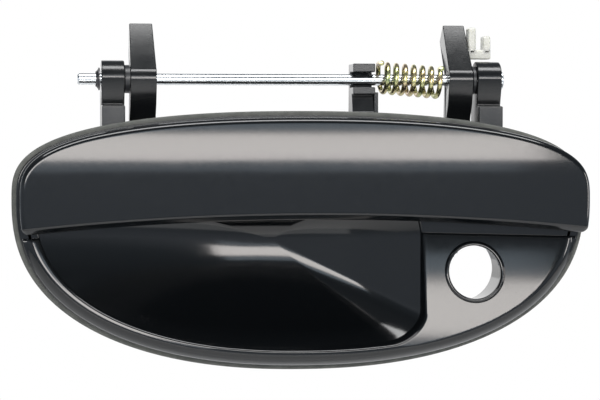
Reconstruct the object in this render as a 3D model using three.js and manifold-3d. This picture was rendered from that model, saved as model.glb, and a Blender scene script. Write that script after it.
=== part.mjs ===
// Exterior pull handle of a car door, for the side whose lock sits right of the grip.
// Millimetres. +X runs to the right as seen from outside the car, +Y into the door, +Z up.
// The origin is the middle of the oval, on the outer face of the door skin.
import * as THREE from 'three';
import { mergeVertices } from 'three/addons/utils/BufferGeometryUtils.js';
import Module from 'manifold-3d';

const wasm = await Module();
wasm.setup();

// ---------------------------------------------------------------- driving dimensions

// Oval of the seal: half width, reach above and below its widest line, and how square it is
const oval = { halfWidth: 100, above: 30.5, below: 58.9, widestZ: 13.7, sideP: 2.25, topP: 3.1, lowP: 2.41 };

const seatGap = 0.1; // between pieces that rest on each other
const sunk = 0.5; // how far a feature runs into the body that it grows from
const fitGap = 0.3; // around pieces that sit in a recess

const gasketThickness = 1.6;
const gasketWidth = 4.5;

const flangeInset = 1.6; // bezel edge behind the edge of the seal
const flangeThickness = 1.7;
const wall = 2.4;

const bezelHeight = 9.1; // front of the raised lower bezel above the flange
const bezelHub = [-25, 4]; // the rays that bound the top edges of the bezel meet here, as [x, z]
const bezelEdgeDrop = 3.5; // how far the top edge falls towards both ends
const bezelEdgeRoll = 5; // width of the rounded outer edge
const bezelRollDepth = 5.5; // how far that edge rolls back
const bezelRampStart = 0.114; // slope of the face at the bottom
const bezelRampCurve = 0.0021; // how the slope grows upwards

const pocketRim = 8.5; // from the edge of the seal to the mouth of the finger pocket
const pocketRightX = 41.3;
const pocketTopZ = 20;
const pocketDepth = 22; // behind the flange
const pocketCorner = 12; // where the bottom meets the lock panel
const pocketTopCorner = 20; // behind the grip
const pocketHub = [-8, -1]; // deepest point, as [x, z]

const paddleInset = 1.4; // each end of the grip inside the edge of the seal
const paddleShiftX = 1.2; // the grip reaches further over the lock end
const paddleTopInset = 2.3; // its top below the top of the seal
const paddleFront = 13; // most forward point of the grip, from the skin
const paddleRear = 3.8; // rear edge of its skirt
const paddleEdgeZ = 8.8; // crease above the lip, in the middle
const paddleEdgeArch = 5.2; // how far that crease falls towards the ends
const lipHeight = 1.9;
const lipDepth = 2.6;
const paddleCorner = 2.5;
const paddleFillet = 2;
const paddleCurve = 0.005; // how the face falls back above its flat lower part
const paddleCrownZ = 21.5; // top of that flat part
const paddleEndDrop = 1.5;

const axisY = 10; // hinge axis
const axisZ = 55.3;
const rodRadius = 2;
const rodLeftX = -77.1;
const rodRightX = 71.9;
const rodHeadRadius = 3.3;
const rodHeadLength = 1.1;
const rodFit = 0.08;

const earRadius = 6.5;
const earStepZ = 46; // the ear steps forward to its foot below this
const earStepReach = 4.2; // how far it steps
const earNeckLean = 3.1; // how far the neck above the step falls back from the barrel
const leftEar = { from: -69, to: -61.05 };
const rightEar = { from: 63, to: 71.6 };
const leftArm = { from: -59, to: -49.9 };
const rightArm = { from: 53, to: 61.7 };
const lug = { from: 18.8, to: 26.6 };

const hubRadius = 5;
const armRise = 19.9; // top of the arm above the axis
const armReach = 16; // top of the arm behind the axis
const armTaper = 0.5; // lost on each side towards the top
const armFoot = { top: 32.4, bottom: 26.2 }; // where the arm grows out of the back of the grip
const armSlotSide = 0.9; // room beside the arm where it passes through the flange
const armSlotZ = { bottom: 22.8, top: 38.3 };

const bushWall = 1.1;
const bushFlangeRadius = 4.9;

const springCoilRadius = 4.93;
const springWireRadius = 0.87;
const springTurns = 7;
const springFrom = 28.6;
const springTo = 50.4;
const springSag = [0.8, -1]; // the loose coil's middle above the axis, at its two ends

const keyRadius = 9.1;
const keyX = 59.3;
const keyZ = -11.6;
const keyLipWidth = 1.3;
const keyLipHeight = 0.8;
const keyPanel = 2.4; // thickness of the panel round the hole
const keyBossRadius = 11.4; // inside the boss behind the panel
const keyBossWall = 1.6;
const keyBossRear = 16;

const studRadius = 3;
const studLength = 18; // behind its boss
const studHeadAcross = 10;
const studHeadThickness = 1;
const studLeft = { x: -80, z: 24 };
const studRight = { x: 82, z: 20 };
const studBossRadius = 7;
const studBossRear = 3;

const bumperRadius = 3;
const bumperStem = 1.6;
const bumperInset = 8.5; // from the edge of the seal
const bumperLeftZ = 14;
const bumperRightZ = 12;

const clipWidth = 8.4;
const clipDepth = 5.2;
const clipBase = 3.4;
const clipProng = 2.8; // width of each side of its fork
const clipGap = 2.5; // between them
const clipLeftRise = 9.6;
const clipRightRise = 6.6;
const clipDrop = 10.6; // pin below the top of the arm
const clipReach = 7.2; // pin behind the axis, in the middle of the lever
const clipPinRadius = 1.9;
const clipPinLength = 5;

// ---------------------------------------------------------------- values that follow

const gasketFront = -gasketThickness;
const flangeRear = gasketFront - seatGap;
const flangeFront = flangeRear - flangeThickness;
const paddleHalfWidth = oval.halfWidth - paddleInset;
const paddleOval = {
  ...oval,
  halfWidth: paddleHalfWidth,
  above: oval.above - paddleTopInset,
  below: oval.below - paddleInset,
};
const bumperLeft = { x: bumperInset - oval.halfWidth, z: bumperLeftZ };
const bumperRight = { x: oval.halfWidth - bumperInset, z: bumperRightZ };
const bushOuter = rodRadius + rodFit + bushWall;
const armBore = bushOuter + rodFit;
const earBore = rodRadius + rodFit;
const sides = 24;

// ---------------------------------------------------------------- solids

/** A closed body from triangles over shared points, turned so that its faces point out. */
function body(points, faces) {
  let volume = 0;
  for (const [a, b, c] of faces) {
    const [p, q, r] = [points[a], points[b], points[c]];
    volume += p[0] * (q[1] * r[2] - q[2] * r[1]);
    volume += p[1] * (q[2] * r[0] - q[0] * r[2]);
    volume += p[2] * (q[0] * r[1] - q[1] * r[0]);
  }
  const turned = volume < 0 ? faces.map(([a, b, c]) => [a, c, b]) : faces;
  const geometry = new THREE.BufferGeometry();
  geometry.setAttribute('position', new THREE.Float32BufferAttribute(points.flat(), 3));
  geometry.setIndex(turned.flat());
  return solid(geometry);
}

/** A three.js geometry as a manifold solid. */
function solid(geometry) {
  const plain = geometry.clone();
  plain.deleteAttribute('normal');
  plain.deleteAttribute('uv');
  const merged = mergeVertices(plain, 1e-4);
  return new wasm.Manifold(new wasm.Mesh({
    numProp: 3,
    vertProperties: new Float32Array(merged.attributes.position.array),
    triVerts: new Uint32Array(merged.index.array),
  }));
}

/** Joins a list of solids. */
function join(solids) {
  return solids.reduce((whole, next) => whole.add(next));
}

/** A named mesh from a manifold solid. */
function piece(name, shape, material) {
  const { vertProperties, triVerts } = shape.getMesh();
  const geometry = new THREE.BufferGeometry();
  geometry.setAttribute('position', new THREE.BufferAttribute(new Float32Array(vertProperties), 3));
  geometry.setIndex(new THREE.BufferAttribute(new Uint32Array(triVerts), 1));
  geometry.computeVertexNormals();
  const mesh = new THREE.Mesh(geometry, material);
  mesh.name = name;
  return mesh;
}

/** Rings of equal length joined one to the next, with a flat fan over each end. */
function loft(rings) {
  const count = rings[0].length;
  const points = rings.flat();
  const faces = [];
  for (let ring = 0; ring + 1 < rings.length; ring += 1) {
    for (let i = 0; i < count; i += 1) {
      const next = (i + 1) % count;
      const [a, b] = [ring * count + i, ring * count + next];
      faces.push([a, b, a + count], [b, b + count, a + count]);
    }
  }
  for (const [first, flip] of [[0, true], [(rings.length - 1) * count, false]]) {
    const ring = points.slice(first, first + count);
    const middle = [0, 1, 2].map((k) => ring.reduce((sum, p) => sum + p[k], 0) / count);
    points.push(middle);
    for (let i = 0; i < count; i += 1) {
      const [a, b] = [first + i, first + ((i + 1) % count)];
      faces.push(flip ? [b, a, points.length - 1] : [a, b, points.length - 1]);
    }
  }
  return body(points, faces);
}

/** The solid between two grids of points that match row by row. */
function slab(front, back) {
  const rows = front.length;
  const columns = front[0].length;
  const points = [...front.flat(), ...back.flat()];
  const faces = [];
  const at = (side, row, column) => side * rows * columns + row * columns + column;
  const quad = (a, b, c, d) => faces.push([a, b, c], [a, c, d]);
  for (let r = 0; r + 1 < rows; r += 1) {
    for (let c = 0; c + 1 < columns; c += 1) {
      quad(at(0, r, c), at(0, r + 1, c), at(0, r + 1, c + 1), at(0, r, c + 1));
      quad(at(1, r, c), at(1, r, c + 1), at(1, r + 1, c + 1), at(1, r + 1, c));
    }
    quad(at(0, r, 0), at(1, r, 0), at(1, r + 1, 0), at(0, r + 1, 0));
    const last = columns - 1;
    quad(at(0, r, last), at(0, r + 1, last), at(1, r + 1, last), at(1, r, last));
  }
  for (let c = 0; c + 1 < columns; c += 1) {
    quad(at(0, 0, c), at(0, 0, c + 1), at(1, 0, c + 1), at(1, 0, c));
    const last = rows - 1;
    quad(at(0, last, c), at(1, last, c), at(1, last, c + 1), at(0, last, c + 1));
  }
  return body(points, faces);
}

/** A cylinder along Y between two depths. */
function roundY(radius, x, z, fromY, toY, segments = sides) {
  const geometry = new THREE.CylinderGeometry(radius, radius, toY - fromY, segments);
  return solid(geometry.translate(x, (fromY + toY) / 2, z));
}

/** A cylinder along X, centred on the hinge axis unless told otherwise. */
function roundX(radius, fromX, toX, y = axisY, z = axisZ, segments = sides) {
  const geometry = new THREE.CylinderGeometry(radius, radius, toX - fromX, segments);
  geometry.rotateZ(Math.PI / 2);
  return solid(geometry.translate((fromX + toX) / 2, y, z));
}

/** A box between two corners. */
function block([x0, y0, z0], [x1, y1, z1]) {
  const geometry = new THREE.BoxGeometry(x1 - x0, y1 - y0, z1 - z0);
  return solid(geometry.translate((x0 + x1) / 2, (y0 + y1) / 2, (z0 + z1) / 2));
}

/** A profile in the Y-Z plane carried from one X to another. */
function profileX(outlineYZ, fromX, toX) {
  const shape = new THREE.Shape(outlineYZ.map(([y, z]) => new THREE.Vector2(y, z)));
  const geometry = new THREE.ExtrudeGeometry(shape, { depth: toX - fromX, bevelEnabled: false });
  const toWorld = new THREE.Matrix4().makeBasis(
    new THREE.Vector3(0, 1, 0),
    new THREE.Vector3(0, 0, 1),
    new THREE.Vector3(1, 0, 0),
  );
  return solid(geometry.applyMatrix4(toWorld).translate(fromX, 0, 0));
}

// ---------------------------------------------------------------- outlines as distance fields

/** About how far (x, z) lies outside an oval; negative inside. */
function ovalField(x, z, shape) {
  const rise = z - shape.widestZ;
  const reach = rise > 0 ? shape.above : shape.below;
  const power = rise > 0 ? shape.topP : shape.lowP;
  const u = Math.abs(x) / shape.halfWidth;
  const v = Math.abs(rise) / reach;
  const slopeX = shape.sideP * u ** (shape.sideP - 1) / shape.halfWidth;
  const slopeZ = power * v ** (power - 1) / reach;
  return (u ** shape.sideP + v ** power - 1) / Math.max(Math.hypot(slopeX, slopeZ), 1e-4);
}

/** The overlap of two fields, with its corners rounded to a radius. */
function roundMax(a, b, radius) {
  return Math.min(-radius, Math.max(a, b)) + Math.hypot(Math.max(a + radius, 0), Math.max(b + radius, 0));
}

const flangeField = (x, z) => ovalField(x, z, oval) + flangeInset;

function pocketField(x, z) {
  const lower = roundMax(ovalField(x, z, oval) + pocketRim, x - pocketRightX, pocketCorner);
  return roundMax(lower, z - pocketTopZ, pocketTopCorner);
}

const acrossPaddle = (x) => (x - paddleShiftX) / paddleHalfWidth;
const creaseZ = (x) => paddleEdgeZ - paddleEdgeArch * acrossPaddle(x) ** 2;
const paddleOvalField = (x, z) => ovalField(x - paddleShiftX, z, paddleOval);

function paddleField(x, z) {
  return roundMax(paddleOvalField(x, z), creaseZ(x) - lipHeight - z, paddleCorner);
}

/** The point where a ray from a centre crosses the edge of a field. */
function edgePoint(field, [cx, cz], angle) {
  let inside = 0;
  let outside = 200;
  for (let step = 0; step < 40; step += 1) {
    const middle = (inside + outside) / 2;
    if (field(cx + middle * Math.cos(angle), cz + middle * Math.sin(angle)) < 0) inside = middle;
    else outside = middle;
  }
  return [cx + inside * Math.cos(angle), cz + inside * Math.sin(angle)];
}

/** The whole edge of a field as [x, z] points, seen from a centre; squash evens out a long shape. */
function edgeRing(field, centre, count, squash = 0.5) {
  return Array.from({ length: count }, (_, i) => {
    const turn = (i / count) * 2 * Math.PI;
    return edgePoint(field, centre, Math.atan2(squash * Math.sin(turn), Math.cos(turn)));
  });
}

/** A ring of [x, z] points at one depth. */
const atDepth = (ring, y) => ring.map(([x, z]) => [x, y, z]);

/** A straight-sided plug through a field's edge. */
function prism(field, centre, count, fromY, toY) {
  const ring = edgeRing(field, centre, count);
  return loft([atDepth(ring, fromY), atDepth(ring, toY)]);
}

// ---------------------------------------------------------------- surfaces

/** How far a rounded edge has fallen at a distance inside it. */
function fillet(distance, radius) {
  if (distance >= radius) return 0;
  const left = radius - Math.max(distance, 0);
  return radius - Math.sqrt(radius * radius - left * left);
}

/** Front of the grip. */
function paddleFace(x, z) {
  const crown = paddleCurve * Math.max(z - paddleCrownZ, 0) ** 2 + paddleEndDrop * acrossPaddle(x) ** 2;
  const edge = fillet(-paddleOvalField(x, z), paddleFillet);
  const lip = lipDepth * Math.max(0, (creaseZ(x) - z) / lipHeight);
  return -paddleFront + crown + edge + Math.min(lip, lipDepth);
}

/** Front of the lower bezel and of the lock panel. */
function bezelFace(x, z) {
  const up = Math.max(z + oval.below - oval.widestZ - pocketRim, 0);
  const ramp = bezelRampStart * up + bezelRampCurve * up * up;
  const distance = -flangeField(x, z);
  const roll = bezelRollDepth * Math.max(1 - distance / bezelEdgeRoll, 0) ** 2.2;
  return Math.min(flangeFront - bezelHeight + ramp + roll, flangeFront - 0.6);
}

// ---------------------------------------------------------------- housing

/** The raised C-shaped bezel from the left edge, round the bottom, to the lock panel. */
function raisedBezel(rays = 46, levels = 7) {
  const reach = oval.halfWidth - flangeInset;
  const rightEnd = -Math.atan2(bezelEdgeDrop, reach - bezelHub[0]);
  const leftEnd = -Math.PI + Math.atan2(bezelEdgeDrop, reach + bezelHub[0]);
  const front = [];
  const back = [];
  for (let i = 0; i <= rays; i += 1) {
    const angle = rightEnd + (leftEnd - rightEnd) * (i / rays);
    const outer = edgePoint(flangeField, bezelHub, angle);
    const inner = edgePoint(pocketField, bezelHub, angle);
    const row = [];
    for (let j = 0; j <= levels; j += 1) {
      const t = (1 - Math.cos((Math.PI * j) / levels)) / 2;
      row.push([outer[0] + t * (inner[0] - outer[0]), outer[1] + t * (inner[1] - outer[1])]);
    }
    front.push(row.map(([x, z]) => [x, bezelFace(x, z), z]));
    back.push(row.map(([x, z]) => [x, flangeRear, z]));
  }
  return slab(front, back);
}

/** The finger pocket's bowl, a paraboloid, swollen outwards by a wall to make its shell. */
function bowl(swell, fromY) {
  const mouth = edgeRing((x, z) => pocketField(x, z) - swell, pocketHub, 44);
  const depth = pocketDepth + swell;
  const rings = [atDepth(mouth, fromY)];
  for (const size of [1, 0.86, 0.72, 0.56, 0.4, 0.22, 0.05]) {
    rings.push(mouth.map(([x, z]) => [
      pocketHub[0] + size * (x - pocketHub[0]),
      flangeRear + depth * (1 - size * size),
      pocketHub[1] + size * (z - pocketHub[1]),
    ]));
  }
  return loft(rings);
}

/** Height of the seal's inner edge above its widest line, with room to spare. */
function sealInsideTop(x) {
  const insideSeal = (a, b) => ovalField(a, b, oval) + gasketWidth + fitGap;
  return edgePoint(insideSeal, [x, oval.widestZ], Math.PI / 2)[1];
}

/** An ear that carries the rod, stepped out to a foot behind the top of the flange. */
function ear({ from, to }) {
  const barrel = roundX(earRadius, from, to);
  const footTop = sealInsideTop(Math.max(Math.abs(from), Math.abs(to)));
  const neck = axisY - earRadius + earNeckLean;
  const leg = profileX([
    [axisY - earRadius, axisZ], [neck, earStepZ + 0.4],
    [neck - earStepReach, earStepZ], [neck - earStepReach, footTop],
    [flangeRear - sunk, footTop], [flangeRear - sunk, 25], [axisY - 4, 25], [axisY + 6, 30],
    [axisY + earRadius, axisZ],
  ], from, to);
  return barrel.add(leg);
}

/** The open hook that steadies the middle of the rod and takes the spring's leg. */
function middleLug() {
  const footTop = sealInsideTop(lug.to);
  const post = profileX([
    [axisY - 1.5, axisZ - 5.2], [axisY - 4.6, axisZ - 5.2], [axisY - 4.6, axisZ - 2.6],
    [axisY + 2.7, axisZ - 2.6], [axisY + 2.7, axisZ + 2.6], [axisY - 4.6, axisZ + 2.6],
    [axisY - 4.6, axisZ + 5.6], [axisY + 6, axisZ + 5.6], [axisY + 7, 30], [axisY - 4, 24],
    [flangeRear - sunk, 27], [flangeRear - sunk, footTop], [fitGap, footTop],
    [axisY - 7, 41.5], [axisY - 3, 44],
  ], lug.from, lug.to);
  const rib = profileX([
    [axisY - 3.2, axisZ - 4.4], [axisY + 6, axisZ - 4.4], [axisY + 6, 32], [axisY - 3, 32],
  ], lug.to - 0.2, lug.to + 1.3);
  return post.add(rib);
}

function armSlot({ from, to }) {
  return block(
    [from - armSlotSide, flangeFront - 1, armSlotZ.bottom],
    [to + armSlotSide, axisY - 4.5, armSlotZ.top],
  );
}

function studBoss({ x, z }) {
  return roundY(studBossRadius, x, z, flangeRear - 0.5, studBossRear);
}

function studPocket({ x, z }) {
  const across = studHeadAcross / Math.sqrt(3) + fitGap;
  const head = roundY(across, x, z, flangeFront - 1, flangeFront + studHeadThickness + fitGap, 6);
  return head.add(roundY(studRadius + fitGap, x, z, flangeFront - 1, studBossRear + 1));
}

function bumperHole({ x, z }) {
  return roundY(bumperStem + seatGap, x, z, flangeFront - 1, flangeRear + 1, 16);
}

/** The room inside the lock boss, up to the back of the sloping panel. */
function lockRecess() {
  const ring = Array.from({ length: 48 }, (_, i) => {
    const turn = (i / 48) * 2 * Math.PI;
    return [keyX + keyBossRadius * Math.cos(turn), keyZ + keyBossRadius * Math.sin(turn)];
  });
  return loft([ring.map(([x, z]) => [x, bezelFace(x, z) + keyPanel, z]), atDepth(ring, keyBossRear + 1)]);
}

function bezelHousing() {
  const plate = prism(flangeField, [0, 5], 80, flangeFront, flangeRear);
  const keyFace = bezelFace(keyX, keyZ);
  const lipRadius = keyRadius + keyLipWidth;
  const rear = studBossRear;
  const added = join([
    plate,
    raisedBezel(),
    bowl(wall, flangeRear - 1),
    ear(leftEar),
    ear(rightEar),
    middleLug(),
    studBoss(studLeft),
    studBoss(studRight),
    block([leftEar.from, flangeRear - 0.3, 24], [rightEar.to, rear, 26.4]),
  ]);
  const lockCavity = prism(
    (x, z) => roundMax(roundMax(flangeField(x, z) + 6.5, pocketRightX + 2 * wall - x, 4), z + 2, 4),
    [keyX, keyZ], 40, flangeFront - 1.6, flangeRear + 5,
  );
  const lockBoss = roundY(keyBossRadius + keyBossWall, keyX, keyZ, flangeFront - 1.5, keyBossRear, 48);
  const lockLip = roundY(lipRadius, keyX, keyZ, keyFace - keyLipHeight, flangeRear, 48);
  const removed = join([
    bowl(0, -paddleFront - 5),
    roundY(keyRadius, keyX, keyZ, -paddleFront - 5, keyBossRear + 1, 48),
    lockRecess(),
    armSlot(leftArm),
    armSlot(rightArm),
    studPocket(studLeft),
    studPocket(studRight),
    bumperHole(bumperLeft),
    bumperHole(bumperRight),
    roundX(earBore, leftEar.from - 1, leftEar.to + 1),
    roundX(earBore, rightEar.from - 1, rightEar.to + 1),
  ]);
  return added.subtract(lockCavity).add(lockBoss).add(lockLip).subtract(removed);
}

/** Flat seal between the bezel and the door skin. */
function doorGasket() {
  const field = (inset) => (x, z) => ovalField(x, z, oval) + inset;
  const outer = prism(field(0), [0, 5], 80, gasketFront, 0);
  const inner = prism(field(gasketWidth), [0, 5], 80, gasketFront - 1, 1);
  return outer.subtract(inner);
}

// ---------------------------------------------------------------- rod, spring, fasteners

function pivotRod() {
  const shank = roundX(rodRadius, rodLeftX, rodRightX + rodHeadLength);
  return shank.add(roundX(rodHeadRadius, rodRightX, rodRightX + rodHeadLength));
}

/** Toothed washer pushed onto the rod's plain end. */
function pushNut() {
  const from = leftEar.from - 1.4;
  const washer = roundX(3.9, from, from + 1);
  const dome = roundX(3.1, from - 0.6, from + 0.2);
  return washer.add(dome).subtract(roundX(rodRadius + rodFit, from - 2, from + 2));
}

/** Torsion spring: one leg on the lug, the other under the right arm. */
class SpringPath extends THREE.Curve {
  getPoint(t, target = new THREE.Vector3()) {
    const legShare = 0.06;
    const coil = Math.min(Math.max((t - legShare) / (1 - 2 * legShare), 0), 1);
    const angle = coil * springTurns * 2 * Math.PI;
    const x = springFrom + coil * (springTo - springFrom);
    const middle = axisZ + springSag[0] + coil * (springSag[1] - springSag[0]);
    target.set(x, axisY + springCoilRadius * Math.sin(angle), middle + springCoilRadius * Math.cos(angle));
    if (t < legShare) target.y -= (1 - t / legShare) * 7;
    if (t > 1 - legShare) target.y -= ((t - 1 + legShare) / legShare) * 5;
    return target;
  }
}

function returnSpring() {
  const section = new THREE.Shape();
  section.absarc(0, 0, springWireRadius, 0, 2 * Math.PI);
  const steps = springTurns * 14;
  return solid(new THREE.ExtrudeGeometry(section, {
    steps,
    extrudePath: new SpringPath(),
    curveSegments: 3,
    bevelEnabled: false,
  }));
}

/** Mounting stud, its hexagon head held in the front of the boss. */
function stud({ x, z }) {
  const headFront = flangeFront + fitGap / 2;
  const head = roundY(studHeadAcross / Math.sqrt(3), x, z, headFront, headFront + studHeadThickness, 6);
  return head.add(roundY(studRadius, x, z, headFront + studHeadThickness / 2, studBossRear + studLength, 24));
}

/** Rubber buffer that the skirt of the grip closes onto. */
function bumper({ x, z }) {
  const domeFront = -paddleRear - 1.2;
  const dome = roundY(bumperRadius, x, z, domeFront, flangeFront - seatGap, 24);
  const stem = roundY(bumperStem, x, z, flangeFront - 0.5, flangeRear, 16);
  return dome.add(stem);
}

// ---------------------------------------------------------------- grip

/** The grip's outline filled with columns, from its lower edge to its top. */
function paddleGrid(inset, faceAt, columns, levels) {
  const field = (x, z) => paddleField(x, z) + inset;
  const reach = paddleHalfWidth - inset - 0.15;
  const middle = oval.widestZ - 2;
  const grid = [];
  for (let i = 0; i <= columns; i += 1) {
    const x = paddleShiftX - reach * Math.cos((Math.PI * i) / columns);
    const [, top] = edgePoint(field, [x, middle], Math.PI / 2);
    const [, bottom] = edgePoint(field, [x, middle], -Math.PI / 2);
    const column = [];
    for (let j = 0; j <= levels; j += 1) {
      const z = bottom + (top - bottom) * (1 - Math.cos((Math.PI * j) / levels)) / 2;
      column.push([x, faceAt(x, z), z]);
    }
    grid.push(column);
  }
  return grid;
}

function paddleShell() {
  const flat = (y) => () => y;
  const outside = slab(paddleGrid(0, paddleFace, 32, 10), paddleGrid(0, flat(-paddleRear), 32, 10));
  const inside = slab(
    paddleGrid(wall, (x, z) => paddleFace(x, z) + wall, 20, 5),
    paddleGrid(wall, flat(5), 20, 5),
  );
  return outside.subtract(inside);
}

/** Bell-crank arm: foot on the back of the grip, leg up behind the flange, lever up and back. */
function arm({ from, to }) {
  const y = (offset) => axisY + offset;
  const z = (offset) => axisZ + offset;
  const root = 2 - paddleFront;
  const leg = profileX([
    [y(-hubRadius), z(0)], [y(-2.2), z(-9)], [y(0.8), z(-14)],
    [y(0.8), armFoot.top + 0.6], [root, armFoot.top], [root, armFoot.bottom],
    [y(1), armFoot.bottom], [y(5.6), armFoot.bottom + 3], [y(6.2), z(-14)], [y(hubRadius), z(0)],
  ], from, to);
  const middle = (from + to) / 2;
  const half = (to - from) / 2;
  const section = (offsetY, offsetZ, half2) => [
    [middle - half2, y(offsetY - 3.3), z(offsetZ + 3.3)], [middle + half2, y(offsetY - 3.3), z(offsetZ + 3.3)],
    [middle + half2, y(offsetY + 2.4), z(offsetZ - 2.4)], [middle - half2, y(offsetY + 2.4), z(offsetZ - 2.4)],
  ];
  const lever = loft([
    section(0, 0, half - 0.05),
    section(armReach - 2.7, armRise - 3.3, half - armTaper),
  ]);
  return join([leg, lever, roundX(hubRadius, from, to)]);
}

function paddle() {
  const ribs = [-30, 0, 30, 74, -76].map((x) => {
    const top = x * x > 2500 ? 27 : 34;
    return block([x - 0.8, -11.1, 12], [x + 0.8, -paddleRear - 1.5, top]);
  });
  const bore = ({ from, to }) => roundX(armBore, from - 1, to + 1);
  return join([paddleShell(), arm(leftArm), arm(rightArm), ...ribs])
    .subtract(bore(leftArm)).subtract(bore(rightArm));
}

/** Flanged nylon bush between an arm and the rod; its flange fills the gap to the ear beside it. */
function hingeBush(arm, ear) {
  const outward = ear.from > arm.to;
  const [flangeFrom, flangeTo] = outward
    ? [arm.to + seatGap, ear.from - seatGap]
    : [ear.to + seatGap, arm.from - seatGap];
  const tube = roundX(bushOuter, Math.min(arm.from, flangeFrom), Math.max(arm.to, flangeTo));
  const flange = roundX(bushFlangeRadius, flangeFrom, flangeTo);
  return tube.add(flange).subtract(roundX(rodRadius + rodFit, arm.from - 5, arm.to + 5));
}

// ---------------------------------------------------------------- latch-rod clip

const clipPin = { y: axisY + clipReach, z: axisZ + armRise - clipDrop };

/** Nylon clip that takes the rod to the latch: a pin in the arm and an open fork beside it. */
function latchRodClip() {
  const from = rightArm.to - armTaper + fitGap;
  const { y, z } = clipPin;
  const half = clipDepth / 2;
  const part = (x0, x1, z0, z1) => block([from + x0, y - half, z + z0], [from + x1, y + half, z + z1]);
  const right = clipWidth - clipProng;
  const left = right - clipGap - clipProng;
  return join([
    part(0, clipWidth, -clipBase / 2, clipBase / 2),
    part(left, left + clipProng, 0, clipLeftRise),
    part(right, clipWidth, 0, clipRightRise),
    roundX(clipPinRadius, from - clipPinLength, from + sunk, y, z, 20),
  ]);
}

function clipHole() {
  const from = rightArm.to - armTaper + fitGap - clipPinLength - 2;
  return roundX(clipPinRadius + rodFit, from, rightArm.to + 2, clipPin.y, clipPin.z, 20);
}

// ---------------------------------------------------------------- materials and assembly

const finish = (color, roughness, metalness = 0) => new THREE.MeshStandardMaterial({ color, roughness, metalness });
const glossBlack = finish(0x1b1f24, 0.2);
const rubber = finish(0x4c4e4a, 0.9);
const zinc = finish(0xc9cdd0, 0.3, 1);
const yellowZinc = finish(0xa39457, 0.35, 1);
const springSteel = finish(0x3a3c3e, 0.4, 1);
const nylonBlack = finish(0x1a1b1c, 0.5);
const nylonWhite = finish(0xd9d9d2, 0.5);

const handle = new THREE.Group();
handle.add(
  piece('bezel_housing', bezelHousing(), glossBlack),
  piece('door_gasket', doorGasket(), rubber),
  piece('pivot_rod', pivotRod(), zinc),
  piece('rod_push_nut', pushNut(), springSteel),
  piece('return_spring', returnSpring(), yellowZinc),
  piece('mounting_stud_left', stud(studLeft), zinc),
  piece('mounting_stud_right', stud(studRight), zinc),
  piece('bumper_left', bumper(bumperLeft), rubber),
  piece('bumper_right', bumper(bumperRight), rubber),
  piece('paddle', paddle().subtract(clipHole()), glossBlack),
  piece('hinge_bush_left', hingeBush(leftArm, leftEar), nylonBlack),
  piece('hinge_bush_right', hingeBush(rightArm, rightEar), nylonBlack),
  piece('latch_rod_clip', latchRodClip(), nylonWhite),
);

export default handle;
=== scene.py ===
"""Exterior car door pull handle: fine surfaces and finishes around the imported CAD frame."""
import math

import bmesh
import bpy
import numpy as np
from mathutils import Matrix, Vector

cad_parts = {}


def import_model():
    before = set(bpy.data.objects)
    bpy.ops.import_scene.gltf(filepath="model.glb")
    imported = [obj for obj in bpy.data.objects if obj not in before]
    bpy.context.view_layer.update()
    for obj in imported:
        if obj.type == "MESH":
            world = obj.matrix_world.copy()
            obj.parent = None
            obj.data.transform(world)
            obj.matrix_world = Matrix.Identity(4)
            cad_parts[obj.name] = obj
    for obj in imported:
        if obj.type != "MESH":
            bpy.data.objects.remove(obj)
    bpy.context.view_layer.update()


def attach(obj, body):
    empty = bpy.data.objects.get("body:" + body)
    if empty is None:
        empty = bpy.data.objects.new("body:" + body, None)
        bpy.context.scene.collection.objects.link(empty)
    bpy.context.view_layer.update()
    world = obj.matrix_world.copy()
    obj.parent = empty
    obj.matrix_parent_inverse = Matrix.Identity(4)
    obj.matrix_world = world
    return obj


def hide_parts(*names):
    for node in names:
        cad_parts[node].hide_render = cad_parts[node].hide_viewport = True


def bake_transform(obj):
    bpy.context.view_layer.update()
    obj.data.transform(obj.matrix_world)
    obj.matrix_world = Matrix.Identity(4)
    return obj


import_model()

MM = 0.001

# ---------------------------------------------------------------- driving dimensions, millimetres

OVAL = dict(half=100.0, above=30.5, below=58.9, mid=13.7, side_p=2.25, top_p=3.1, low_p=2.41)
GRIP_OVAL = dict(OVAL, half=98.6, above=28.2, below=57.5)
GRIP_SHIFT = 1.2

GASKET_FRONT = -1.6
GASKET_WIDTH = 4.5
FLANGE_INSET = 1.6
FLANGE_REAR = -1.7
FLANGE_FRONT = -3.4
WALL = 2.4

BEZEL_HEIGHT = 9.1
BEZEL_HUB = (-25.0, 4.0)
BEZEL_EDGE_DROP = 3.5
EDGE_ROLL = 5.0
ROLL_DEPTH = 5.5
RAMP_START = 0.114
RAMP_CURVE = 0.0021

POCKET_RIM = 8.5
POCKET_RIGHT = 41.3
POCKET_TOP = 20.0
POCKET_DEPTH = 22.0
POCKET_CORNER = 12.0
POCKET_TOP_CORNER = 20.0
POCKET_HUB = (-8.0, -1.0)

GRIP_FRONT = 13.0
GRIP_REAR = -3.8
CREASE_Z = 8.8
CREASE_ARCH = 5.2
LIP_HEIGHT = 1.9
LIP_DEPTH = 2.6
GRIP_CORNER = 2.5
GRIP_FILLET = 2.0
GRIP_CURVE = 0.005
GRIP_CROWN_Z = 21.5
GRIP_END_DROP = 1.5

AXIS_Y = 10.0
AXIS_Z = 55.3
ROD_RADIUS = 2.0
ROD_FIT = 0.08
ROD_X = (-77.1, 71.9)
ROD_HEAD = (3.3, 1.1)

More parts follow.
